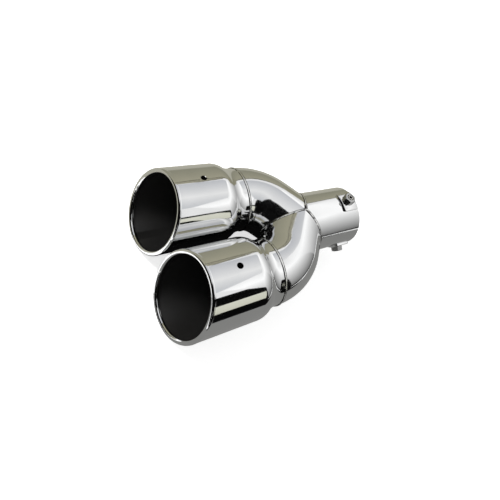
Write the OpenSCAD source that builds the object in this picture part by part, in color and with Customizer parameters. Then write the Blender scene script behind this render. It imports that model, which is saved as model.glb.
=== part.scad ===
// Twin-outlet exhaust tip: two round cans with slash-cut, rolled lips, two elbows that are
// mitred together and to one inlet sleeve, and three set-screw clamps round the sleeve.
// The origin is the centre of the sleeve's mouth, which faces +Y, and the cans open toward -Y.

/* [Outlet cans] */
// Outside diameter of each can
can_od = 89; // [80:0.5:110]
// Wall thickness of the can sheet
can_wall = 1.2; // [0.8:0.1:2]
// Gap between the two cans
can_gap = 6; // [2:0.5:20]
// Length of a can on its axis, from the lip to the neck weld
can_length = 93; // [80:1:160]
// Length of the curved shoulder that brings the can down to the neck
shoulder_length = 24; // [18:1:34]
// Length of the straight neck behind the shoulder
neck_length = 5; // [2:0.5:10]
// Lean of the slash-cut lip, which puts the top of the lip back
slash_angle = 20; // [0:1:30]
// Diameter of the lip's inward roll
roll_diameter = 5.2; // [4:0.1:8]
// How far the roll stands proud of the can
roll_proud = 0.2; // [0.1:0.05:0.6]
// Diameter of the drain hole in each can
drain_hole_diameter = 6.5; // [4:0.5:10]
// Distance from the lip back to the drain hole, on the can's axis
drain_hole_back = 45; // [35:1:58]
// Turn of the left can's drain hole from the top, away from the other can
left_hole_turn = 7; // [0:1:30]

/* [Elbows and sleeve] */
// Outside diameter of the elbows, the sleeve and the cans' necks
tube_od = 74; // [60:0.5:76]
// Wall thickness of the elbows and the sleeve
tube_wall = 1.5; // [1:0.1:3]
// Centreline radius of each elbow
elbow_radius = 46; // [42:1:60]
// Angle that each elbow turns toward the other
elbow_angle = 52; // [45:1:60]
// Length of the sleeve from the point where all three axes meet to its mouth
sleeve_length = 78; // [72:1:120]

/* [Welds] */
// Width of the weld beads
bead_width = 3.2; // [2:0.1:5]
// Height of the weld beads over the tubes
bead_height = 1; // [0.5:0.1:2]

/* [Clamps] */
// Angle round the sleeve from the top clamp to each of the two lower clamps
clamp_spread = 120; // [100:1:135]
// Distance from the sleeve's mouth to the clamp screws
clamp_inset = 13; // [12:0.5:20]
// Length of a clamp pad along the sleeve
pad_length = 22; // [18:1:24]
// Width of a clamp pad round the sleeve
pad_width = 27; // [20:1:32]
// Thickness of a clamp pad
pad_thickness = 2.5; // [1:0.25:3]
// Radius of a clamp pad's corners
pad_corner = 3; // [1:0.5:5]
// Thread diameter of the set screws
screw_diameter = 8; // [6:1:10]
// Length of a set screw
screw_length = 10; // [8:1:14]
// Width across the flats of the nuts
nut_flats = 13; // [13:0.5:17]
// Height of the nuts
nut_height = 6.8; // [5:0.1:8]
// Width across the flats of the key socket in a set screw
socket_flats = 4; // [3:0.5:5]
// Depth of the key socket
socket_depth = 4.5; // [3:0.5:6]

/* [Clearances] */
// Radial running clearance between a set screw and its nut
screw_clearance = 0.05; // [0.02:0.01:0.1]
// Radial clearance of the screw holes through the pads and the sleeve
screw_hole_clearance = 0.4; // [0.2:0.1:1]
// Distance that the set screws stand back from the sleeve's bore
screw_setback = 0.1; // [0.1:0.1:1]
// Clearance under the ring bead where it laps onto the elbows
weld_clearance = 0.02; // [0.01:0.01:0.1]

/* [Hidden] */
$fn = 96;
can_r = can_od / 2;
tube_r = tube_od / 2;
axis_x = (can_od + can_gap) / 2;
// Stations along Y, counted from the sleeve's mouth
meet_y = -sleeve_length;
leg_length = (axis_x - elbow_radius * (1 - cos(elbow_angle))) / sin(elbow_angle);
weld_y = meet_y - elbow_radius * sin(elbow_angle) - leg_length * cos(elbow_angle);
lip_y = weld_y - can_length;
shoulder_y = weld_y - neck_length - shoulder_length;
// Half the elbow angle is the lean of the mitre between a leg and the sleeve
mitre_angle = elbow_angle / 2;
// The shoulder is two equal arcs, one bulging out and one in, that meet at its middle
shoulder_drop = can_r - tube_r;
shoulder_arc = (pow(shoulder_length / 2, 2) + pow(shoulder_drop / 2, 2)) / shoulder_drop;
shoulder_lean = asin(shoulder_length / 2 / shoulder_arc);
shoulder_steps = 8;
// The roll's centreline lies on a cylinder inside the can wall
roll_path_r = can_r + roll_proud - roll_diameter / 2;
pad_r = tube_r + pad_thickness;
// Flat round land on a pad that seats the nut
land_radius = nut_flats / sqrt(3) + 0.5;
land_r = sqrt(pow(pad_r, 2) - pow(land_radius, 2));
screw_r = screw_diameter / 2 - screw_clearance;
screw_hole_r = screw_diameter / 2 + screw_hole_clearance;
screw_tip_r = tube_r - tube_wall + screw_setback;
// A bead is a circular arc in section, of this radius
bead_arc = (pow(bead_height, 2) + pow(bead_width / 2, 2)) / (2 * bead_height);
big = 4 * can_od;

// Turns a shape drawn round Z so that its Z axis points along +Y
module along_y() { rotate([-90, 0, 0]) children(); }

// Moves to the lip's centre and leans with the slash cut, so that local Z points out of the can
module at_lip() { translate([0, lip_y, 0]) rotate([90 - slash_angle, 0, 0]) children(); }

// Points along an arc, the first one left out when from is 1
function arc_points(x, y, r, a0, a1, from = 0) =
    [for (i = [from:shoulder_steps]) let (a = a0 + (a1 - a0) * i / shoulder_steps)
        [x + r * cos(a), y + r * sin(a)]];

// A can's wall as radius and station from the lip, offset inward by d from the outer face
function can_path(d) = concat(
    [[can_r - d, -can_r * tan(slash_angle) - 5]],
    arc_points(can_r - shoulder_arc, shoulder_y - lip_y, shoulder_arc - d, 0, shoulder_lean),
    arc_points(tube_r + shoulder_arc, shoulder_y - lip_y + shoulder_length, shoulder_arc + d,
        180 + shoulder_lean, 180, 1),
    [[tube_r - d, can_length]]);

function reversed(list) = [for (i = [len(list) - 1:-1:0]) list[i]];

// Rolled lip: a round bead along an oval of four arcs that follows the slash cut. The arcs at the
// top and bottom are a hair thinner and lap into the side arcs, so that their ends lie inside them.
module lip_roll() {
    side = roll_path_r;
    tall = roll_path_r / cos(slash_angle);
    shift = (tall - side) / (2 - sqrt(2));
    lap = 1;
    for (s = [0, 180]) rotate([0, 0, s]) {
        translate([-shift, 0, 0]) rotate([0, 0, -45]) rotate_extrude(angle = 90)
            translate([side + shift, 0]) circle(d = roll_diameter, $fn = 24);
        translate([0, shift, 0]) rotate([0, 0, 45 - lap]) rotate_extrude(angle = 90 + 2 * lap)
            translate([tall - shift, 0]) circle(d = roll_diameter - 0.04, $fn = 24);
    }
}

// Spun can with its shoulder and neck, its rolled lip, and its drain hole turned from the top
module outlet_can(hole_turn) {
    color("silver") translate([axis_x, 0, 0]) {
        difference() {
            translate([0, lip_y, 0]) along_y() rotate_extrude()
                polygon(concat(can_path(0), reversed(can_path(can_wall))));
            at_lip() translate([-big / 2, -big / 2, 0]) cube(big);
            translate([0, lip_y + drain_hole_back, 0]) rotate([0, hole_turn, 0])
                translate([0, 0, can_r / 2]) cylinder(d = drain_hole_diameter, h = can_r, $fn = 32);
        }
        at_lip() lip_roll();
    }
}

// Moves to where a side's elbow ends its turn, with local Y along the leg; side is 1 or -1
module at_leg(side) {
    mirror([side < 0 ? 1 : 0, 0, 0]) translate([axis_x - elbow_radius, weld_y, 0])
        rotate([0, 0, elbow_angle]) translate([elbow_radius, 0, 0]) children();
}

// Solid bar of radius r along the right elbow's turn
module turn_bar(r) {
    translate([axis_x - elbow_radius, weld_y, 0]) rotate_extrude(angle = elbow_angle)
        translate([elbow_radius, 0]) circle(r);
}

// Solid bar of radius r along a side's leg, on past the meeting point
module leg_bar(side, r) { at_leg(side) along_y() cylinder(r = r, h = leg_length + 2 * tube_od); }

// Solid bar of radius r along the sleeve, on past the meeting point toward the cans
module sleeve_bar(r, over) {
    translate([0, meet_y - tube_r, 0]) along_y() cylinder(r = r, h = sleeve_length + tube_r + over);
}

// Everything past the mitre between a side's leg and the sleeve, from a distance of shift on
module past_mitre(side, shift = 0) {
    translate([0, meet_y, 0]) rotate([0, 0, side * mitre_angle]) translate([-big / 2, shift, -big / 2])
        cube(big);
}

// Everything before that mitre, up to a distance of shift
module before_mitre(side, shift = 0) {
    translate([0, meet_y, 0]) rotate([0, 0, side * mitre_angle]) translate([-big / 2, shift - big, -big / 2])
        cube(big);
}

// Half of space on one side of the middle plane
module half_space(side) { translate([side > 0 ? 0 : -big, -big, -big]) cube([big, 2 * big, 2 * big]); }

// Elbow: a tight turn and a straight leg, cut on the middle plane and on the sleeve's mitre
module elbow() {
    leg = leg_length + 2 * tube_od;
    color("silver") difference() {
        translate([axis_x - elbow_radius, weld_y, 0]) rotate([0, 0, elbow_angle]) mirror([0, 1, 0]) {
            rotate_extrude(angle = elbow_angle) translate([elbow_radius, 0]) difference() {
                circle(tube_r);
                circle(tube_r - tube_wall);
            }
            translate([elbow_radius, -leg, 0]) along_y() difference() {
                cylinder(r = tube_r, h = leg);
                cylinder(r = tube_r - tube_wall, h = leg);
            }
        }
        half_space(-1);
        past_mitre(1);
    }
}

// Moves to a clamp at an angle round the sleeve, with local Z pointing out from the sleeve's axis
module at_clamp(a) { translate([0, -clamp_inset, 0]) rotate([0, a, 0]) children(); }

// Inlet sleeve: the tailpipe goes in at its mouth, and its far end is cut to a V for the elbows
module inlet_sleeve() {
    color("silver") difference() {
        sleeve_bar(tube_r, 0);
        sleeve_bar(tube_r - tube_wall, 1);
        for (side = [-1, 1]) before_mitre(side);
        for (a = [0, clamp_spread, -clamp_spread]) at_clamp(a)
            translate([0, 0, tube_r / 2]) cylinder(r = screw_hole_r, h = tube_r, $fn = 32);
    }
}

// Weld bead round the joint between a can's neck and its elbow
module neck_weld() {
    color("gray") difference() {
        translate([axis_x, weld_y, 0]) along_y() rotate_extrude()
            translate([tube_r + bead_height - bead_arc, 0]) circle(bead_arc, $fn = 24);
        translate([axis_x, weld_y - bead_width, 0]) along_y() cylinder(r = tube_r, h = bead_width);
        turn_bar(tube_r);
    }
}

// Weld bead in the valley between the two elbows, on the middle plane
module centre_seam_weld() {
    color("gray") difference() {
        intersection() {
            union() for (side = [-1, 1]) leg_bar(side, tube_r + bead_height);
            translate([-bead_width / 2, -big, -big / 2]) cube([bead_width, big, big]);
        }
        for (side = [-1, 1]) {
            leg_bar(side, tube_r);
            past_mitre(side, -bead_width / 2);
        }
    }
}

// Weld bead round the sleeve's V-cut end. Half its width lies on the sleeve and half, a little
// lower, on the elbows.
module sleeve_ring_weld() {
    color("gray") for (side = [-1, 1]) {
        difference() {
            sleeve_bar(tube_r + bead_height, 0);
            sleeve_bar(tube_r, 1);
            half_space(-side);
            before_mitre(side);
            past_mitre(side, bead_width / 2);
        }
        difference() {
            leg_bar(side, tube_r + 0.9 * bead_height);
            leg_bar(side, tube_r + weld_clearance);
            half_space(-side);
            before_mitre(side, -bead_width / 2);
            past_mitre(side);
        }
    }
}

// Clamp pad: a saddle with rounded corners and a flat land for the nut
module clamp_pad(a) {
    color("silver") at_clamp(a) difference() {
        intersection() {
            translate([0, -pad_length / 2, 0]) along_y() difference() {
                cylinder(r = pad_r, h = pad_length);
                translate([0, 0, -1]) cylinder(r = tube_r, h = pad_length + 2);
            }
            translate([0, 0, tube_r / 2]) linear_extrude(height = tube_r) {
                square([pad_width - 2 * pad_corner, pad_length], center = true);
                square([pad_width, pad_length - 2 * pad_corner], center = true);
                for (x = [-1, 1], y = [-1, 1])
                    translate([x * (pad_width / 2 - pad_corner), y * (pad_length / 2 - pad_corner)])
                        circle(pad_corner, $fn = 32);
            }
        }
        translate([0, 0, land_r]) cylinder(r = land_radius, h = pad_r, $fn = 48);
        translate([0, 0, tube_r / 2]) cylinder(r = screw_hole_r, h = tube_r, $fn = 32);
    }
}

// Hex nut with chamfered corners, seated on the pad's land
module clamp_nut(a) {
    face_r = nut_flats / 2 - 0.25;
    edge_r = nut_flats / sqrt(3) + 1;
    edge = (edge_r - face_r) * tan(30);
    color("lightgray") at_clamp(a) translate([0, 0, land_r]) difference() {
        intersection() {
            cylinder(d = nut_flats / cos(30), h = nut_height, $fn = 6);
            rotate_extrude($fn = 48) polygon([[0, 0], [face_r, 0], [edge_r, edge],
                [edge_r, nut_height - edge], [face_r, nut_height], [0, nut_height]]);
        }
        translate([0, 0, -1]) cylinder(d = screw_diameter, h = nut_height + 2, $fn = 48);
    }
}

// Set screw with chamfered ends and a hex key socket
module set_screw(a) {
    edge = screw_diameter / 12;
    color("dimgray") at_clamp(a) translate([0, 0, screw_tip_r]) difference() {
        rotate_extrude($fn = 48) polygon([[0, 0], [screw_r - edge, 0], [screw_r, edge],
            [screw_r, screw_length - edge], [screw_r - edge, screw_length], [0, screw_length]]);
        translate([0, 0, screw_length - socket_depth])
            cylinder(d = socket_flats / cos(30), h = socket_depth + 1, $fn = 6);
    }
}

outlet_can(0);  // outlet_can_right
mirror([1, 0, 0]) outlet_can(left_hole_turn);  // outlet_can_left
elbow();  // elbow_right
mirror([1, 0, 0]) elbow();  // elbow_left
inlet_sleeve();
neck_weld();  // neck_weld_right
mirror([1, 0, 0]) neck_weld();  // neck_weld_left
centre_seam_weld();
sleeve_ring_weld();
clamp_pad(0);  // clamp_pad_top
clamp_pad(clamp_spread);  // clamp_pad_right
clamp_pad(-clamp_spread);  // clamp_pad_left
clamp_nut(0);  // clamp_nut_top
clamp_nut(clamp_spread);  // clamp_nut_right
clamp_nut(-clamp_spread);  // clamp_nut_left
set_screw(0);  // set_screw_top
set_screw(clamp_spread);  // set_screw_right
set_screw(-clamp_spread);  // set_screw_left
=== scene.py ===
# Twin-outlet exhaust tip: two slash-cut cans on elbows that join one sleeve, in polished
# stainless steel. Metres, +Z up; the origin is the centre of the sleeve's mouth, which faces +Y.
import math

import bpy
import bmesh
from mathutils import Matrix, Vector, noise


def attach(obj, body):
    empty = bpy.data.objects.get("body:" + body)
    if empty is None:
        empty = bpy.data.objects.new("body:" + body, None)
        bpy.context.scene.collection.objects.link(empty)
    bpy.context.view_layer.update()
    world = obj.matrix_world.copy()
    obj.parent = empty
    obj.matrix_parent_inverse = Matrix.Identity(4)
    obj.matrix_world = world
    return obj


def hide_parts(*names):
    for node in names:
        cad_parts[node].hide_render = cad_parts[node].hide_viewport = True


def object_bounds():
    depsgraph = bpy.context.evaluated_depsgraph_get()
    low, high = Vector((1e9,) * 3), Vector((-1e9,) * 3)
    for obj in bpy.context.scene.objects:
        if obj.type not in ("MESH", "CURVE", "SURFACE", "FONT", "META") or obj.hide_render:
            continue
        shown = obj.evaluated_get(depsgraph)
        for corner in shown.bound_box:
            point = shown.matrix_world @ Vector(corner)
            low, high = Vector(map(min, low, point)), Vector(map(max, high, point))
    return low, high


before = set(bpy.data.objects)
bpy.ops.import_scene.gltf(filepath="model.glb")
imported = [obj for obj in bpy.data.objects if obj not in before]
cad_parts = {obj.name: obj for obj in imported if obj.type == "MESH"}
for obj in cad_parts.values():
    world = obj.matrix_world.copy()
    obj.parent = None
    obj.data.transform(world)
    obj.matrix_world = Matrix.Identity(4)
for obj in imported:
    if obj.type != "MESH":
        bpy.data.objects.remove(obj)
cad_box = [list(corner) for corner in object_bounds()]


# ---- Outlet cans ---------------------------------------------------------------------------
# Each can is spun from 1.2 mm stainless sheet: a straight barrel, an S-curved shoulder and a
# short neck. The mouth is cut on a slant and its edge is curled inward into a hollow roll.
# The outside is buffed to a mirror; the inside has a heat-proof black coating.
can_r, can_wall, can_x = 0.0445, 0.0012, 0.0475
can_length, shoulder_length, neck_length = 0.093, 0.024, 0.005
tube_r, weld_y = 0.037, -0.1375468
lip_y, shoulder_y = weld_y - can_length, weld_y - neck_length - shoulder_length
slash = math.radians(20)
roll_r, roll_proud = 0.00258, 0.00016
hole_r, hole_back, left_hole_turn = 0.00325, 0.045, math.radians(7)

# Edges that turn by more than the crease stay crisp; a cut's edges under a sliver's length go
crease, sliver = math.radians(35), 5e-6


def linear(hex_colour):
    """An sRGB hex value as a linear colour."""
    parts = [int(hex_colour[i : i + 2], 16) / 255 for i in (1, 3, 5)]
    return [p / 12.92 if p <= 0.04045 else ((p + 0.055) / 1.055) ** 2.4 for p in parts] + [1.0]


def add(tree, kind, inputs=None, **settings):
    """Adds a node: settings are its properties, inputs its sockets' values or what feeds them."""
    made = tree.nodes.new(kind)
    for name, value in settings.items():
        setattr(made, name, value)
    for name, value in (inputs or {}).items():
        if isinstance(value, bpy.types.NodeSocket):
            tree.links.new(value, made.inputs[name])
        else:
            made.inputs[name].default_value = value
    return made


def surface(name):
    """A new material with an empty node tree and its output."""
    material = bpy.data.materials.new(name)
    material.use_nodes = True
    material.node_tree.nodes.clear()
    return material, material.node_tree, material.node_tree.nodes.new("ShaderNodeOutputMaterial")


# Stainless 304, buffed on cloth wheels: a mirror, a touch warm, with faint haze in patches and
# hairlines that run round the spun can. The real lines are 0.1 mm apart; these are 0.5 mm.
can_steel, tree, output = surface("buffed_stainless_can")
place = add(tree, "ShaderNodeTexCoord").outputs["Object"]
round_lines = add(tree, "ShaderNodeMapping", {"Vector": place, "Scale": (30, 2000, 30)})
lines = add(tree, "ShaderNodeTexNoise", {"Vector": round_lines.outputs[0], "Scale": 1.0, "Detail": 2.0})
haze = add(tree, "ShaderNodeTexNoise", {"Vector": place, "Scale": 45.0, "Detail": 3.0})
hazed = add(tree, "ShaderNodeMapRange", {"Value": haze.outputs["Fac"], "From Min": 0.35, "From Max": 0.7,
                                         "To Min": 0.035, "To Max": 0.085})
tone = add(tree, "ShaderNodeMix", {"Factor": haze.outputs["Fac"], "A": linear("#e8e8e8"),
                                   "B": linear("#dddede")}, data_type="RGBA")
bump = add(tree, "ShaderNodeBump", {"Height": lines.outputs["Fac"], "Strength": 0.02, "Distance": 0.0002})
steel = add(tree, "ShaderNodeBsdfPrincipled", {"Base Color": tone.outputs[2], "Metallic": 1.0,
                                               "Roughness": hazed.outputs[0], "Normal": bump.outputs[0]})
tree.links.new(steel.outputs[0], output.inputs["Surface"])

# Heat-proof silicone paint, sprayed and baked: a soft black with a fine 1 mm orange peel
can_lining, tree, output = surface("baked_black_lining")
place = add(tree, "ShaderNodeTexCoord").outputs["Object"]
peel = add(tree, "ShaderNodeTexNoise", {"Vector": place, "Scale": 1000.0, "Detail": 2.0})
soot = add(tree, "ShaderNodeTexNoise", {"Vector": place, "Scale": 25.0, "Detail": 4.0})
tone = add(tree, "ShaderNodeMix", {"Factor": soot.outputs["Fac"], "A": linear("#151515"),
                                   "B": linear("#272625")}, data_type="RGBA")
bump = add(tree, "ShaderNodeBump", {"Height": peel.outputs["Fac"], "Strength": 0.15, "Distance": 0.0002})
paint = add(tree, "ShaderNodeBsdfPrincipled", {"Base Color": tone.outputs[2], "Roughness": 0.42,
                                               "Normal": bump.outputs[0]})
tree.links.new(paint.outputs[0], output.inputs["Surface"])


def line_to(bm, start, point):
    """Draws an edge from a vertex to a point and returns the new vertex."""
    end = bmesh.ops.extrude_vert_indiv(bm, verts=[start])["verts"][0]
    end.co = point
    return end


def arc_from(bm, start, centre, angle, steps, axis=(0, 0, 1)):
    """Draws an arc of edges from a vertex and returns its last vertex."""
    for _ in range(steps):
        turn = Matrix.Rotation(angle / steps, 3, axis)
        start = line_to(bm, start, Vector(centre) + turn @ (start.co - Vector(centre)))
    return start


def turned(bm, geometry, centre, axis, angle, steps):
    """Spins geometry round an axis and returns the edges of its last copy."""
    last = bmesh.ops.spin(bm, geom=geometry, cent=centre, axis=axis, angle=angle, steps=steps,
                          use_merge=abs(angle) > 6.28)["geom_last"]
    return [e for e in last if isinstance(e, bmesh.types.BMEdge)]


def sliced(bm, point, normal, keep=False):
    """Cuts a mesh with a plane and, unless told to keep it, clears the side that normal points to."""
    bmesh.ops.bisect_plane(bm, geom=bm.verts[:] + bm.edges[:] + bm.faces[:], dist=1e-7,
                           plane_co=point, plane_no=normal, clear_outer=not keep)


def sealed(bm):
    """Merges a mesh's doubled vertices and faces it outward."""
    bmesh.ops.remove_doubles(bm, verts=bm.verts, dist=1e-6)
    bmesh.ops.recalc_face_normals(bm, faces=bm.faces)


def finished(bm, name, materials, sharp=crease):
    """Seals a piece's mesh, smooths it up to an angle and makes its object."""
    sealed(bm)
    mesh = bpy.data.meshes.new(name)
    bm.to_mesh(mesh)
    bm.free()
    for material in materials:
        mesh.materials.append(material)
    mesh.shade_smooth()
    mesh.set_sharp_from_angle(angle=sharp)
    piece = bpy.data.objects.new(name, mesh)
    bpy.context.scene.collection.objects.link(piece)
    return piece


def taken(piece):
    """Takes a piece's mesh back for more work and removes its object."""
    bm = bmesh.new()
    bm.from_mesh(piece.data)
    bpy.data.objects.remove(piece)
    return bm


def joined(bm, part):
    """Adds a second mesh to the first and frees it."""
    mesh = bpy.data.meshes.new("part")
    part.to_mesh(mesh)
    part.free()
    bm.from_mesh(mesh)
    bpy.data.meshes.remove(mesh)


def apply_modifiers(piece):
    """Gives a piece its modifiers' result as its mesh, free of slivers and crisp where it is cut."""
    result = bpy.data.meshes.new_from_object(piece.evaluated_get(bpy.context.evaluated_depsgraph_get()))
    piece.modifiers.clear()
    old, piece.data = piece.data, result
    bpy.data.meshes.remove(old)
    bm = bmesh.new()
    bm.from_mesh(result)
    bmesh.ops.dissolve_degenerate(bm, edges=bm.edges[:], dist=sliver)
    bm.to_mesh(result)
    bm.free()
    result.set_sharp_from_angle(angle=crease)


def cut(piece, cutter, operation="DIFFERENCE"):
    """Cuts a piece with a mesh, which is used up."""
    sealed(cutter)
    tool = bpy.data.objects.new("cutter", bpy.data.meshes.new("cutter"))
    cutter.to_mesh(tool.data)
    cutter.free()
    bpy.context.scene.collection.objects.link(tool)
    boolean = piece.modifiers.new("cut", "BOOLEAN")
    boolean.object, boolean.operation, boolean.solver = tool, operation, "EXACT"
    apply_modifiers(piece)
    bpy.data.objects.remove(tool)


def drilled(piece, radius, depth, middle, segments=48):
    """Cuts a straight hole: middle is the matrix of the hole's middle, which runs along its Z."""
    drill = bmesh.new()
    bmesh.ops.create_cone(drill, cap_ends=True, segments=segments, radius1=radius, radius2=radius,
                          depth=depth, matrix=middle)
    cut(piece, drill)


def outlet_can(side, hole_turn):
    """A can on its own side of the middle plane; side is 1 or -1."""
    # The sheet's outer and inner profiles run from past the slant to the neck's end
    drop = can_r - tube_r
    arc_r = ((shoulder_length / 2) ** 2 + (drop / 2) ** 2) / drop
    lean = math.asin(shoulder_length / 2 / arc_r)
    past_y = lip_y - can_r * math.tan(slash) - 0.005
    bm = bmesh.new()
    for inset in (0, can_wall):
        start = bm.verts.new((can_x + can_r - inset, past_y, 0))
        end = line_to(bm, start, (can_x + can_r - inset, shoulder_y, 0))
        end = arc_from(bm, end, (can_x + can_r - arc_r, shoulder_y, 0), lean, 12)
        end = arc_from(bm, end, (can_x + tube_r + arc_r, shoulder_y + shoulder_length, 0), -lean, 12)
        end = line_to(bm, end, (can_x + tube_r - inset, weld_y, 0))
        if inset:
            bm.edges.new((end, outer_end))
        outer_end = end
    turned(bm, bm.verts[:] + bm.edges[:], (can_x, 0, 0), (0, 1, 0), math.tau, 240)
    sliced(bm, (can_x, lip_y, 0), (0, -math.cos(slash), math.sin(slash)))
    can = finished(bm, "can", [can_steel, can_lining])
    drilled(can, hole_r, can_r, Matrix.Translation((can_x, lip_y + hole_back, 0))
            @ Matrix.Rotation(hole_turn, 4, "Y") @ Matrix.Translation((0, 0, can_r)))
    bm = taken(can)
    # Faces that look back at the axis are the coated inside
    for face in bm.faces:
        outward = (face.calc_center_median() - Vector((can_x, 0, 0))) * Vector((1, 0, 1))
        face.material_index = 1 if face.normal.dot(outward) < -0.5 * outward.length else 0
    bmesh.ops.bridge_loops(bm, edges=[e for e in bm.edges if e.is_boundary])
    # The roll runs along an oval of four arcs that follows the slanted cut
    wide = can_r + roll_proud - roll_r
    tall = wide / math.cos(slash)
    shift = (tall - wide) / (2 - math.sqrt(2))
    roll = bmesh.new()
    bmesh.ops.create_circle(roll, segments=24, radius=roll_r, matrix=Matrix.Translation((wide + shift, 0, 0))
                            @ Matrix.Rotation(math.pi / 2, 4, "X"))
    bmesh.ops.rotate(roll, verts=roll.verts, cent=(0, 0, 0), matrix=Matrix.Rotation(-math.pi / 4, 3, "Z"))
    bmesh.ops.translate(roll, verts=roll.verts, vec=(-shift, 0, 0))
    ring = roll.edges[:]
    for centre in ((-shift, 0, 0), (0, shift, 0), (shift, 0, 0), (0, -shift, 0)):
        ring = turned(roll, ring, centre, (0, 0, 1), math.pi / 2, 60)
    bmesh.ops.transform(roll, verts=roll.verts, matrix=Matrix.Translation((can_x, lip_y, 0))
                        @ Matrix.Rotation(math.pi / 2 - slash, 4, "X"))
    joined(bm, roll)
    if side < 0:
        bmesh.ops.scale(bm, verts=bm.verts, vec=(-1, 1, 1))
    return finished(bm, f"outlet_can_{'right' if side > 0 else 'left'}_piece", [can_steel, can_lining])


for side, turn, name in ((1, 0, "outlet_can_right"), (-1, left_hole_turn, "outlet_can_left")):
    can = outlet_can(side, turn)
    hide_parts(name)
    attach(can, "tip")


# ---- Elbows --------------------------------------------------------------------------------
# Each elbow is 74 mm stainless tube, bent 52 degrees on a tight mandrel and cut on two planes:
# one against the other elbow and one against the sleeve. Bent tube is buffed by hand.
tube_wall, bend_r, bend = 0.0015, 0.046, math.radians(52)
meet_y = -0.078
leg_length = (can_x - bend_r * (1 - math.cos(bend))) / math.sin(bend)

# The same stainless 304, buffed by hand on a belt and a cloth wheel: a mirror with a soft haze
tube_steel, tree, output = surface("buffed_stainless_tube")
place = add(tree, "ShaderNodeTexCoord").outputs["Object"]
haze = add(tree, "ShaderNodeTexNoise", {"Vector": place, "Scale": 35.0, "Detail": 4.0})
hazed = add(tree, "ShaderNodeMapRange", {"Value": haze.outputs["Fac"], "From Min": 0.3, "From Max": 0.7,
                                         "To Min": 0.05, "To Max": 0.12})
ripple = add(tree, "ShaderNodeTexNoise", {"Vector": place, "Scale": 60.0, "Detail": 1.0})
tone = add(tree, "ShaderNodeMix", {"Factor": haze.outputs["Fac"], "A": linear("#e6e6e6"),
                                   "B": linear("#dbdcdc")}, data_type="RGBA")
bump = add(tree, "ShaderNodeBump", {"Height": ripple.outputs["Fac"], "Strength": 0.06, "Distance": 0.001})
steel = add(tree, "ShaderNodeBsdfPrincipled", {"Base Color": tone.outputs[2], "Metallic": 1.0,
                                               "Roughness": hazed.outputs[0], "Normal": bump.outputs[0]})
tree.links.new(steel.outputs[0], output.inputs["Surface"])

# The bore keeps the mill's dull finish: grey, rolled, never polished
mill_steel, tree, output = surface("mill_finish_bore")
place = add(tree, "ShaderNodeTexCoord").outputs["Object"]
scale = add(tree, "ShaderNodeTexNoise", {"Vector": place, "Scale": 120.0, "Detail": 4.0})
tone = add(tree, "ShaderNodeMix", {"Factor": scale.outputs["Fac"], "A": linear("#77767a"),
                                   "B": linear("#9a9997")}, data_type="RGBA")
steel = add(tree, "ShaderNodeBsdfPrincipled", {"Base Color": tone.outputs[2], "Metallic": 1.0, "Roughness": 0.38})
tree.links.new(steel.outputs[0], output.inputs["Surface"])


def extended(bm, edges, by):
    """Draws a skin out from a ring of edges."""
    skin = bmesh.ops.extrude_edge_only(bm, edges=edges)["geom"]
    bmesh.ops.translate(bm, verts=[v for v in skin if isinstance(v, bmesh.types.BMVert)], vec=by)


def solid_wall(piece, thickness, face, middle):
    """
    Gives an open skin its sheet's thickness, inward, with the second material inside. The way out
    is known from one of its faces, which looks away from a middle point.
    """
    if face.normal.dot(face.center - middle) < 0:
        piece.data.flip_normals()
    wall = piece.modifiers.new("wall", "SOLIDIFY")
    wall.thickness, wall.offset, wall.use_even_offset, wall.material_offset = thickness, -1, True, 1
    apply_modifiers(piece)


def elbow(side):
    """An elbow, made on the right and mirrored for the left."""
    bm = bmesh.new()
    pivot = (can_x - bend_r, weld_y, 0)
    bmesh.ops.create_circle(bm, segments=192, radius=tube_r, matrix=Matrix.Translation((can_x, weld_y, 0))
                            @ Matrix.Rotation(math.pi / 2, 4, "X"))
    ring = turned(bm, bm.edges[:], pivot, (0, 0, 1), bend, 40)
    along = Vector((-math.sin(bend), math.cos(bend), 0))
    extended(bm, ring, along * (leg_length + 3 * tube_r))
    sliced(bm, (0, 0, 0), (-1, 0, 0))
    sliced(bm, (0, meet_y, 0), (-math.sin(bend / 2), math.cos(bend / 2), 0))
    if side < 0:
        bmesh.ops.scale(bm, verts=bm.verts, vec=(-1, 1, 1))
    piece = finished(bm, f"elbow_{'right' if side > 0 else 'left'}_piece", [tube_steel, mill_steel])
    widest = max(piece.data.polygons, key=lambda p: abs(p.center.x))
    solid_wall(piece, tube_wall, widest, Vector((side * pivot[0], weld_y, 0)))
    return piece


for side, name in ((1, "elbow_right"), (-1, "elbow_left")):
    bent = elbow(side)
    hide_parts(name)
    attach(bent, "tip")


# ---- Inlet sleeve --------------------------------------------------------------------------
# The sleeve is the same tube, cut square at its mouth and to a V at its far end, where the two
# elbows meet it. Three plain holes let the set screws through to the tailpipe.
clamp_y, clamp_spread = -0.013, math.radians(120)
screw_hole_r = 0.0044


def clamp_seat(angle, radius=0):
    """A clamp's place: its Z points out of the sleeve at an angle from the top."""
    return (Matrix.Translation((0, clamp_y, 0)) @ Matrix.Rotation(angle, 4, "Y")
            @ Matrix.Translation((0, 0, radius)))


bm = bmesh.new()
bmesh.ops.create_circle(bm, segments=192, radius=tube_r, matrix=Matrix.Rotation(math.pi / 2, 4, "X"))
extended(bm, bm.edges[:], (0, meet_y - tube_r, 0))
for side in (1, -1):
    sliced(bm, (0, meet_y, 0), (side * math.sin(bend / 2), -math.cos(bend / 2), 0))
sleeve = finished(bm, "inlet_sleeve_piece", [tube_steel, mill_steel])
first = sleeve.data.polygons[0]
solid_wall(sleeve, tube_wall, first, Vector((0, first.center.y, 0)))
for angle in (0, clamp_spread, -clamp_spread):
    drilled(sleeve, screw_hole_r, tube_r, clamp_seat(angle, tube_r))
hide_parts("inlet_sleeve")
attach(sleeve, "tip")


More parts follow.
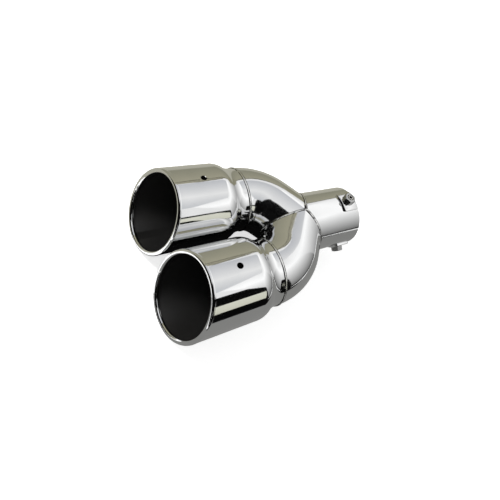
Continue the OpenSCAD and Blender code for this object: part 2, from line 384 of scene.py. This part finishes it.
# ---- Weld beads ----------------------------------------------------------------------------
# TIG-welded seams in stainless filler: round each neck, along the valley between the elbows and
# round the sleeve's V end. The beads are buffed over but keep their fine ripple; their dark toes are painted shade.
ring_half, neck_half, bead_high = 0.0021, 0.0015, 0.0008
seam_sink, ring_sink = 0.0002, 0.0001
ripple_pitch, ripple_high, lump_high = 0.001508, 0.00008, 0.00012
bead_crease = math.radians(80)

# Weld metal, buffed: a little duller and greyer than the tube. Along its toes runs a brown-black
# line of painted shade for the crevice beside the bead, broken in places by noise.
weld_steel, tree, output = surface("buffed_weld_bead")
place = add(tree, "ShaderNodeTexCoord").outputs["Object"]
grain = add(tree, "ShaderNodeTexNoise", {"Vector": place, "Scale": 700.0, "Detail": 3.0})
toe_shade_breaks = add(tree, "ShaderNodeTexNoise", {"Vector": place, "Scale": 260.0, "Detail": 2.0})
# Where the painted toe shade stays; noise breaks the dark line in places
left = add(tree, "ShaderNodeMapRange", {"Value": toe_shade_breaks.outputs["Fac"], "From Min": 0.68, "From Max": 0.56})
toe = add(tree, "ShaderNodeAttribute", attribute_name="toe")
# Mask of the painted shade: the bead's toes, broken by noise
painted_toe_shade = add(tree, "ShaderNodeMath", {0: toe.outputs["Fac"], 1: left.outputs[0]}, operation="MULTIPLY")
tone = add(tree, "ShaderNodeMix", {"Factor": grain.outputs["Fac"], "A": linear("#dcdcda"),
                                   "B": linear("#f4f4f2")}, data_type="RGBA")
# The toes are painted brown-black as shade
tone = add(tree, "ShaderNodeMix", {"Factor": painted_toe_shade.outputs[0], "A": tone.outputs[2],
                                   "B": linear("#0d0b09")}, data_type="RGBA")
bump = add(tree, "ShaderNodeBump", {"Height": grain.outputs["Fac"], "Strength": 0.2, "Distance": 0.0003})
steel = add(tree, "ShaderNodeBsdfPrincipled", {"Base Color": tone.outputs[2], "Metallic": 1.0,
                                               "Roughness": 0.16, "Normal": bump.outputs[0]})
tree.links.new(steel.outputs[0], output.inputs["Surface"])


def bead(name, radius, angle, steps, matrix, half, toes):
    """
    A round-topped bead spun about Z and moved to its seam, with a ripple every 1.5 mm or so. Painted
    shade darkens its toes over these shares of the half width, on the -Z side and the +Z side, or more in blots.
    """
    bm = bmesh.new()
    bmesh.ops.create_circle(bm, segments=24, radius=half, matrix=Matrix.Translation((radius, 0, 0))
                            @ Matrix.Rotation(math.pi / 2, 4, "X") @ Matrix.Diagonal((bead_high / half, 1, 1, 1)))
    if angle < 6.28:
        bmesh.ops.rotate(bm, verts=bm.verts, cent=(0, 0, 0), matrix=Matrix.Rotation(-angle / 2, 3, "Z"))
    turned(bm, bm.verts[:] + bm.edges[:], (0, 0, 0), (0, 0, 1), angle, steps)
    if angle < 6.28:
        bmesh.ops.holes_fill(bm, edges=[e for e in bm.edges if e.is_boundary])
    toe = bm.verts.layers.float.new("toe")
    for v in bm.verts:
        blot = max(0, noise.noise(v.co * 150))
        # Painted shade covers a share of the half width from each edge, and more in blots
        unshaded_share = 1 - toes[v.co.z > 0] - blot
        v[toe] = min(1, max(0, (abs(v.co.z) / half - unshaded_share) / 0.2))
        out = Vector((v.co.x, v.co.y, 0))
        if out.length > radius:
            along = out.angle(Vector((1, 0, 0))) * radius
            swell = lump_high * noise.noise(v.co * 650) + ripple_high * math.sin(math.tau * along / ripple_pitch)
            v.co += out.normalized() * swell
    bmesh.ops.transform(bm, verts=bm.verts, matrix=matrix)
    return finished(bm, name, [weld_steel], sharp=bead_crease)


along_y = Matrix.Rotation(-math.pi / 2, 4, "X")
for side, word in ((1, "right"), (-1, "left")):
    neck = bead(f"neck_weld_{word}_piece", tube_r, math.tau, 480,
                Matrix.Translation((side * can_x, weld_y, 0)) @ along_y, neck_half, (0.35, 0.8))
    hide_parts(f"neck_weld_{word}")
    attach(neck, "tip")

# The valley between the elbows is half an ellipse on the middle plane, and the bead sinks in it
valley = (Matrix.Translation((0, meet_y, 0)) @ Matrix.Rotation(-math.pi / 2, 4, "Z")
          @ Matrix.Diagonal((1 / math.sin(bend), 1, 1, 1)) @ Matrix.Rotation(math.pi / 2, 4, "X"))
seam = bead("centre_seam_weld_piece", tube_r - seam_sink, math.pi, 300, valley, neck_half, (0.6, 0.6))
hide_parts("centre_seam_weld")
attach(seam, "tip")

# The V end's edge is two half ellipses, one each side of the middle plane
ring = bmesh.new()
for side in (1, -1):
    mitre = (Matrix.Translation((0, meet_y, 0)) @ Matrix.Rotation(side * bend / 2, 4, "Z")
             @ Matrix.Diagonal((side / math.cos(bend / 2), 1, 1, 1)) @ Matrix.Rotation(math.pi / 2, 4, "X"))
    half = bead("half_ring", tube_r - ring_sink, math.pi, 300, mitre, ring_half, (0.7, 0.7))
    ring.from_mesh(half.data)
    bpy.data.objects.remove(half)
ring_weld = finished(ring, "sleeve_ring_weld_piece", [weld_steel], sharp=bead_crease)
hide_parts("sleeve_ring_weld")
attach(ring_weld, "tip")


# ---- Clamp pads ----------------------------------------------------------------------------
# Three saddles, blanked from 2.5 mm stainless plate, bent to the sleeve and polished. A flat
# spot milled round the screw's hole seats the nut.
pad_length, pad_width, pad_thick, pad_corner, pad_edge = 0.022, 0.027, 0.0025, 0.003, 0.0004
nut_flats, nut_high = 0.013, 0.0068
pad_r, nut_r = tube_r + pad_thick, nut_flats / math.sqrt(3)
land_radius = nut_r + 0.0005
land_r = math.sqrt(pad_r**2 - land_radius**2)
mill_depth = 0.01

# Stainless plate, tumbled and polished: a mirror with fine random scratches
pad_steel, tree, output = surface("polished_stainless_plate")
place = add(tree, "ShaderNodeTexCoord").outputs["Object"]
scratch = add(tree, "ShaderNodeTexNoise", {"Vector": place, "Scale": 900.0, "Detail": 3.0})
rough = add(tree, "ShaderNodeMapRange", {"Value": scratch.outputs["Fac"], "To Min": 0.06, "To Max": 0.16})
bump = add(tree, "ShaderNodeBump", {"Height": scratch.outputs["Fac"], "Strength": 0.05, "Distance": 0.0002})
steel = add(tree, "ShaderNodeBsdfPrincipled", {"Base Color": linear("#dddddd"), "Metallic": 1.0,
                                               "Roughness": rough.outputs[0], "Normal": bump.outputs[0]})
tree.links.new(steel.outputs[0], output.inputs["Surface"])

clamps = (("top", 0), ("right", clamp_spread), ("left", -clamp_spread))
for word, angle in clamps:
    # A flat plate with round corners and edges, in strips that let it bend
    bm = bmesh.new()
    bmesh.ops.create_grid(bm, x_segments=1, y_segments=1, size=0.5)
    bmesh.ops.scale(bm, verts=bm.verts, vec=(pad_width, pad_length, 1))
    bmesh.ops.bevel(bm, geom=bm.verts[:], offset=pad_corner, affect="VERTICES", segments=8, profile=0.5, material=-1)
    for strip in range(1, 36):
        sliced(bm, ((strip / 36 - 0.5) * pad_width, 0, 0), (1, 0, 0), keep=True)
    top = bmesh.ops.extrude_face_region(bm, geom=bm.faces[:])["geom"]
    bmesh.ops.translate(bm, verts=[v for v in top if isinstance(v, bmesh.types.BMVert)], vec=(0, 0, pad_thick))
    bmesh.ops.recalc_face_normals(bm, faces=bm.faces)
    rim = [e for e in bm.edges if len(e.link_faces) == 2 and e.calc_face_angle() > 1
           and min(v.co.z for v in e.verts) > pad_thick / 2]
    bmesh.ops.bevel(bm, geom=rim, offset=pad_edge, affect="EDGES", segments=3, profile=0.5, material=-1)
    for v in bm.verts:
        lean = math.asin(v.co.x / pad_r)
        high = tube_r + v.co.z
        v.co = (high * math.sin(lean), v.co.y, high * math.cos(lean))
    pad = finished(bm, f"clamp_pad_{word}_piece", [pad_steel])
    drilled(pad, land_radius, mill_depth, Matrix.Translation((0, 0, land_r + mill_depth / 2)), segments=64)
    drilled(pad, screw_hole_r, tube_r, Matrix.Translation((0, 0, tube_r)))
    pad.data.transform(clamp_seat(angle))
    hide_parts(f"clamp_pad_{word}")
    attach(pad, "tip")


# ---- Clamp nuts ----------------------------------------------------------------------------
# M8 hex nuts in stainless, 13 mm across the flats, chamfered at both faces and countersunk.
# Each is tack-welded to its pad's flat spot on the real tip.
nut_bore_r, countersink, nut_crease = 0.004, 0.0004, math.radians(20)
tool_proud = 0.001

# Bright stainless A2, cold-formed and tumbled: satin, with fine directionless marks
nut_steel, tree, output = surface("tumbled_stainless_nut")
place = add(tree, "ShaderNodeTexCoord").outputs["Object"]
marks = add(tree, "ShaderNodeTexNoise", {"Vector": place, "Scale": 1200.0, "Detail": 3.0})
rough = add(tree, "ShaderNodeMapRange", {"Value": marks.outputs["Fac"], "To Min": 0.14, "To Max": 0.26})
bump = add(tree, "ShaderNodeBump", {"Height": marks.outputs["Fac"], "Strength": 0.1, "Distance": 0.0002})
steel = add(tree, "ShaderNodeBsdfPrincipled", {"Base Color": linear("#a8a8a7"), "Metallic": 1.0,
                                               "Roughness": rough.outputs[0], "Normal": bump.outputs[0]})
tree.links.new(steel.outputs[0], output.inputs["Surface"])


def lathed(outline, steps):
    """A solid turned about Z from an outline of radius and height that starts and ends on Z."""
    bm = bmesh.new()
    end = bm.verts.new((outline[0][0], 0, outline[0][1]))
    for radius, height in outline[1:]:
        end = line_to(bm, end, (radius, 0, height))
    turned(bm, bm.verts[:] + bm.edges[:], (0, 0, 0), (0, 0, 1), math.tau, steps)
    return bm


for word, angle in clamps:
    bm = bmesh.new()
    bmesh.ops.create_cone(bm, cap_ends=True, segments=6, radius1=nut_r, radius2=nut_r, depth=nut_high,
                          matrix=Matrix.Translation((0, 0, nut_high / 2)))
    nut = finished(bm, f"clamp_nut_{word}_piece", [nut_steel])
    # What stays inside two 30-degree cones keeps the corners' chamfer; the cones' ends lie past the faces
    face_r, edge_r, lap = nut_flats / 2 - 0.00025, nut_r + 0.001, 0.0005
    slope = math.tan(math.radians(30))
    edge, past = (edge_r - face_r) * slope, lap * slope
    cut(nut, lathed(((0, -past), (face_r - lap, -past), (edge_r, edge), (edge_r, nut_high - edge),
                     (face_r - lap, nut_high + past), (0, nut_high + past)), 96), "INTERSECT")
    cut(nut, lathed(((0, -tool_proud), (nut_bore_r, -tool_proud), (nut_bore_r, nut_high - countersink),
                     (nut_bore_r + 2 * countersink, nut_high + countersink), (0, nut_high + countersink)), 64))
    nut.data.set_sharp_from_angle(angle=nut_crease)
    nut.data.transform(clamp_seat(angle, land_r))
    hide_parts(f"clamp_nut_{word}")
    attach(nut, "tip")


# ---- Set screws ----------------------------------------------------------------------------
# M8 socket set screws, 10 mm long, with a 4 mm hex socket. They turn in the nuts and grip the
# tailpipe with their flat points; the thread shows where they come through the sleeve.
screw_r, screw_length, screw_tip_r = 0.00395, 0.010, 0.0356
socket_r, socket_deep = 0.004 / math.sqrt(3), 0.0045
thread_pitch, thread_deep, thread_start = 0.00125, 0.00062, 0.0005
root_r, ridge_sink = screw_r - thread_deep, 0.0002
point_chamfer, head_chamfer = 0.0004, 0.0002
screw_crease, touch = math.radians(30), 1e-5

# Rolled stainless thread, a shade darker than the nut for the oil that it is driven with
screw_steel, tree, output = surface("rolled_stainless_screw")
place = add(tree, "ShaderNodeTexCoord").outputs["Object"]
marks = add(tree, "ShaderNodeTexNoise", {"Vector": place, "Scale": 1500.0, "Detail": 2.0})
tone = add(tree, "ShaderNodeMix", {"Factor": marks.outputs["Fac"], "A": linear("#a5a39f"),
                                   "B": linear("#c9c7c3")}, data_type="RGBA")
steel = add(tree, "ShaderNodeBsdfPrincipled", {"Base Color": tone.outputs[2], "Metallic": 1.0, "Roughness": 0.24})
tree.links.new(steel.outputs[0], output.inputs["Surface"])

# The socket's walls, broached: dark partly from the oil left in them and partly painted shade for the deep hex recess
socket_dark, tree, output = surface("oil_and_painted_shade_socket")
place = add(tree, "ShaderNodeTexCoord").outputs["Object"]
film = add(tree, "ShaderNodeTexNoise", {"Vector": place, "Scale": 900.0, "Detail": 2.0})
# Near-black tone: oil, and painted shade of the recess
tone = add(tree, "ShaderNodeMix", {"Factor": film.outputs["Fac"], "A": linear("#0c0c0b"),
                                   "B": linear("#1d1b19")}, data_type="RGBA")
oil = add(tree, "ShaderNodeBsdfPrincipled", {"Base Color": tone.outputs[2], "Roughness": 0.6})
tree.links.new(oil.outputs[0], output.inputs["Surface"])

for word, angle in clamps:
    core = lathed(((0, 0), (root_r - point_chamfer, 0), (root_r, point_chamfer), (root_r, screw_length - head_chamfer),
                   (root_r - head_chamfer, screw_length), (0, screw_length)), 64)
    screw = finished(core, f"set_screw_{word}_piece", [screw_steel, socket_dark])
    broach_z = screw_length - (socket_deep - tool_proud) / 2
    drilled(screw, socket_r, socket_deep + tool_proud, Matrix.Translation((0, 0, broach_z)), segments=6)
    bm = taken(screw)
    for face in bm.faces:
        centre = face.calc_center_median()
        in_socket = screw_length - socket_deep - touch < centre.z < screw_length - touch
        face.material_index = 1 if in_socket and math.hypot(centre.x, centre.y) < socket_r + touch else 0
    # The thread is a ridge, flat at its crest, that winds up the core
    ridge = bmesh.new()
    foot = root_r - ridge_sink
    end = start = ridge.verts.new((foot, 0, thread_start))
    for radius, share in ((screw_r, 0.4), (screw_r, 0.55), (foot, 0.95)):
        end = line_to(ridge, end, (radius, 0, thread_start + share * thread_pitch))
    ridge.edges.new((end, start))
    bmesh.ops.contextual_create(ridge, geom=ridge.edges[:])
    turns = (screw_length - head_chamfer - thread_start - thread_pitch) / thread_pitch
    steps = round(40 * turns)
    bmesh.ops.spin(ridge, geom=ridge.edges[:] + ridge.verts[:], cent=(0, 0, 0), axis=(0, 0, 1),
                   angle=math.tau * turns, steps=steps, dvec=(0, 0, thread_pitch * turns / steps))
    bmesh.ops.holes_fill(ridge, edges=[e for e in ridge.edges if e.is_boundary])
    joined(bm, ridge)
    screw = finished(bm, f"set_screw_{word}_piece", [screw_steel, socket_dark], sharp=screw_crease)
    screw.data.transform(clamp_seat(angle, screw_tip_r))
    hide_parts(f"set_screw_{word}")
    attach(screw, f"screw_{word}")


# ---- Floor, light and camera ---------------------------------------------------------------
# A white sweep under an even white sky, and studio cards that only the polished steel sees: a tan
# board at the left, a back board that rises from grey to white under a softbox, and black flags.
ground = cad_box[0][2]
matt_black = "#0a0a0a"


def sight(tree):
    """1 for the rays that show the studio, to the camera or in steel and glass, and 0 for its light."""
    rays = add(tree, "ShaderNodeLightPath").outputs
    seen = add(tree, "ShaderNodeMath", {0: rays["Is Camera Ray"], 1: rays["Is Glossy Ray"]}, operation="MAXIMUM")
    seen = add(tree, "ShaderNodeMath", {0: seen.outputs[0], 1: rays["Is Transmission Ray"]}, operation="MAXIMUM")
    return seen.outputs[0]


# Matt white paper; where it is seen it is lifted to white, and it keeps the object's shadow
floor_white, tree, output = surface("white_sweep")
lift = add(tree, "ShaderNodeMath", {0: sight(tree), 1: 0.7}, operation="MULTIPLY")
paper = add(tree, "ShaderNodeBsdfPrincipled", {"Base Color": linear("#f4f4f4"), "Roughness": 0.9,
                                               "Emission Color": (1, 1, 1, 1), "Emission Strength": lift.outputs[0]})
tree.links.new(paper.outputs[0], output.inputs["Surface"])
bm = bmesh.new()
bmesh.ops.create_circle(bm, cap_ends=True, segments=96, radius=6)
bmesh.ops.translate(bm, verts=bm.verts, vec=(0, -0.12, ground - 0.0002))
floor = finished(bm, "floor", [floor_white])

world = bpy.data.worlds.new("studio")
bpy.context.scene.world = world
world.use_nodes = True
world.node_tree.nodes.clear()
level = add(world.node_tree, "ShaderNodeMapRange", {"Value": sight(world.node_tree), "To Min": 0.4, "To Max": 1.0})
sky = add(world.node_tree, "ShaderNodeBackground", {"Color": (1, 1, 1, 1), "Strength": level.outputs[0]})
add(world.node_tree, "ShaderNodeOutputWorld", {"Surface": sky.outputs[0]})

# A soft lamp high at the front left reaches into the cans; the steel doesn't reflect it
lamp = bpy.data.objects.new("soft_lamp", bpy.data.lights.new("soft_lamp", "AREA"))
lamp.data.shape, lamp.data.size, lamp.data.energy = "DISK", 0.4, 9
lamp.visible_glossy = False
lamp_turn = Vector((-0.6, -0.43, 0.9)).to_track_quat("Z", "Y").to_matrix().to_4x4()
lamp.matrix_world = Matrix.Translation((-0.6, -0.65, 0.9)) @ lamp_turn
bpy.context.scene.collection.objects.link(lamp)


def card(name, low, high, corners, strength=1.0):
    """A flat card that only reflections see, shaded upward from low to high."""
    board, tree, output = surface(name)
    place = add(tree, "ShaderNodeTexCoord").outputs["Object"]
    height = add(tree, "ShaderNodeSeparateXYZ", {"Vector": place}).outputs["Z"]
    foot, head = min(c[2] for c in corners), max(c[2] for c in corners)
    part = add(tree, "ShaderNodeMapRange", {"Value": height, "From Min": foot, "From Max": max(head, foot + 0.01)})
    shade = add(tree, "ShaderNodeMix", {"Factor": part.outputs[0], "A": linear(low), "B": linear(high)},
                data_type="RGBA")
    glow = add(tree, "ShaderNodeEmission", {"Color": shade.outputs[2], "Strength": strength})
    tree.links.new(glow.outputs[0], output.inputs["Surface"])
    bm = bmesh.new()
    bmesh.ops.contextual_create(bm, geom=[bm.verts.new(c) for c in corners])
    sheet = finished(bm, name, [board])
    for ray in ("camera", "diffuse", "transmission", "volume_scatter", "shadow"):
        setattr(sheet, "visible_" + ray, False)


def at_x(x, *outline):
    """Corners of a card that stands across X, from its Y and Z."""
    return [(x, y, z) for y, z in outline]


def at_y(y, *outline):
    """Corners of a card that stands across Y, from its X and Z."""
    return [(x, y, z) for x, z in outline]


def lying(high, *outline):
    """Corners of a card that lies this high over the floor, from its X and Y."""
    return [(x, y, ground + high) for x, y in outline]


# Tan board at the left, with its pale foot, the dark edge along its top, and pale paper before it
top = ((0.80, 0.55), (0.62, 0.62), (0.40, 0.80), (0.25, 0.95), (-0.90, 0.95))
rim = ((-0.90, 0.99), (0.26, 0.99), (0.42, 0.84), (0.64, 0.66), (0.80, 0.58))
card("tan_board", "#949382", "#b6b29c", at_x(-0.70, (-0.90, ground), (0.80, ground), *top))
card("tan_board_foot", "#a5a393", "#959483", at_x(-0.69, (-0.90, ground), (0.80, ground), (0.80, 0.02), (-0.90, 0.02)))
card("tan_board_edge", "#3f3e38", "#3f3e38", at_x(-0.70, *top, *rim))
card("tan_board_end", "#918f7b", "#a09c88", at_y(0.79, (-0.70, ground), (-0.40, ground), (-0.46, 0.40), (-0.70, 0.52)))
card("pale_paper", "#b9b7a9", "#b9b7a9", lying(0.001, (-0.70, -0.90), (-0.05, -0.90), (-0.05, 0.80), (-0.70, 0.80)))

# Back board, brightest at its top, the dark line at its foot, and a roof whose ridge is brightest
for word, feet, dark in (("", ((-0.70, 0.80), (0.22, 0.80)), "#979797"),
                         ("_turned", ((0.22, 0.80), (0.75, 0.32)), "#5c5c5b")):
    for part, low, high, z0, z1 in (("", dark, "#ffffff", ground, 0.95), ("_top", "#ffffff", "#e2e2e2", 0.95, 1.60)):
        card(f"back_board{word}{part}", low, high,
             [(*feet[0], z0), (*feet[1], z0), (*feet[1], z1), (*feet[0], z1)], strength=1.3)
card("back_board_line", "#30302e", "#30302e",
     [(0.21, 0.79, -0.03), (0.74, 0.31, -0.03), (0.74, 0.31, 0.02), (0.21, 0.79, 0.0)])
card("roof_left", "#cfd1d6", "#ffffff",
     [(-0.70, -0.90, 0.99), (-0.70, 0.80, 0.99), (0.10, 0.80, 1.60), (0.10, -0.90, 1.60)])
card("roof_right", "#d8dade", "#ffffff",
     [(0.75, -0.90, 1.20), (0.75, 0.80, 1.20), (0.10, 0.80, 1.60), (0.10, -0.90, 1.60)])

# Grey paper at the right, a black sheet beyond it, and under the object a black sheet of painted shadow that stands
# for the floor's shade there as the steel reflects it
card("grey_paper", "#8e8e8c", "#8e8e8c", lying(0.001, (0.02, -0.50), (0.34, -0.50), (0.34, 0.50), (0.02, 0.50)))
card("black_paper", matt_black, matt_black, lying(0.001, (0.34, -0.50), (0.70, -0.50), (0.70, 0.30), (0.34, 0.30)))
# Painted shadow: a black sheet under the object, seen only in the steel, in place of the floor's shade
card("painted_shadow_sheet", matt_black, matt_black, lying(0.002, (-0.05, -0.25), (0.03, -0.25), (0.03, -0.06), (0.045, -0.06),
                                                  (0.045, -0.035), (-0.05, -0.035)))

# Black flags at the right, in front and overhead, with a cream strip before them
card("black_flag", matt_black, matt_black, at_x(0.70, (-0.70, ground), (0.50, ground), (0.46, 0.22), (0.36, 0.40),
                                                (0.32, 0.50), (0.18, 0.52), (-0.70, 0.52)))
card("cream_strip", "#dcdccb", "#eeeee0", at_x(0.68, (-0.03, 0.10), (0.17, 0.10), (0.24, 0.17), (0.26, 0.30),
                                               (0.20, 0.44), (-0.03, 0.44)))
card("near_flag", matt_black, matt_black, at_x(0.105, (-0.30, 0.049), (-0.14, 0.049), (-0.143, 0.062),
                                               (-0.16, 0.076), (-0.30, 0.078)))
card("high_flag", matt_black, matt_black, at_x(0.72, (-0.90, 0.45), (0.06, 0.45), (0.10, 1.10), (-0.90, 1.70)))
card("front_flag", "#101010", "#101010", at_y(-0.90, (-0.90, ground), (0.90, ground), (0.90, 1.90), (-0.90, 1.90)))
card("overhead_flag", matt_black, matt_black,
     [(x, y, 1.10) for x, y in ((0.08, -0.18), (0.75, -0.24), (0.75, -0.90), (0.20, -0.90))])

# The photograph's view, fitted to the object's outline; lens and shift in pixels of its frame
azimuth, elevation, tilt = (math.radians(a) for a in (31.25, 48.03, 39.42))
aim_y, distance, aside, above = -0.12055, 0.42923, 0.03413, 0.01834
frame_px, focal_px, shift_x_px, shift_y_px = 500, 372.42, -42.33, -34.22
back = Vector((math.sin(azimuth) * math.cos(elevation), -math.cos(azimuth) * math.cos(elevation), math.sin(elevation)))
right = (-back).cross(Vector((0, 0, 1))).normalized()
up = right.cross(-back)
right, up = right * math.cos(tilt) + up * math.sin(tilt), up * math.cos(tilt) - right * math.sin(tilt)
camera = bpy.data.objects.new("camera", bpy.data.cameras.new("camera"))
bpy.context.scene.collection.objects.link(camera)
camera.matrix_world = Matrix((right, up, back)).transposed().to_4x4()
camera.location = Vector((0, aim_y, 0)) + back * distance + right * aside + up * above
camera.data.lens = camera.data.sensor_width * focal_px / frame_px
camera.data.shift_x, camera.data.shift_y = shift_x_px / frame_px, shift_y_px / frame_px
camera.data.clip_start = 0.01
bpy.context.scene.camera = camera
bpy.context.scene.view_settings.view_transform = "Standard"
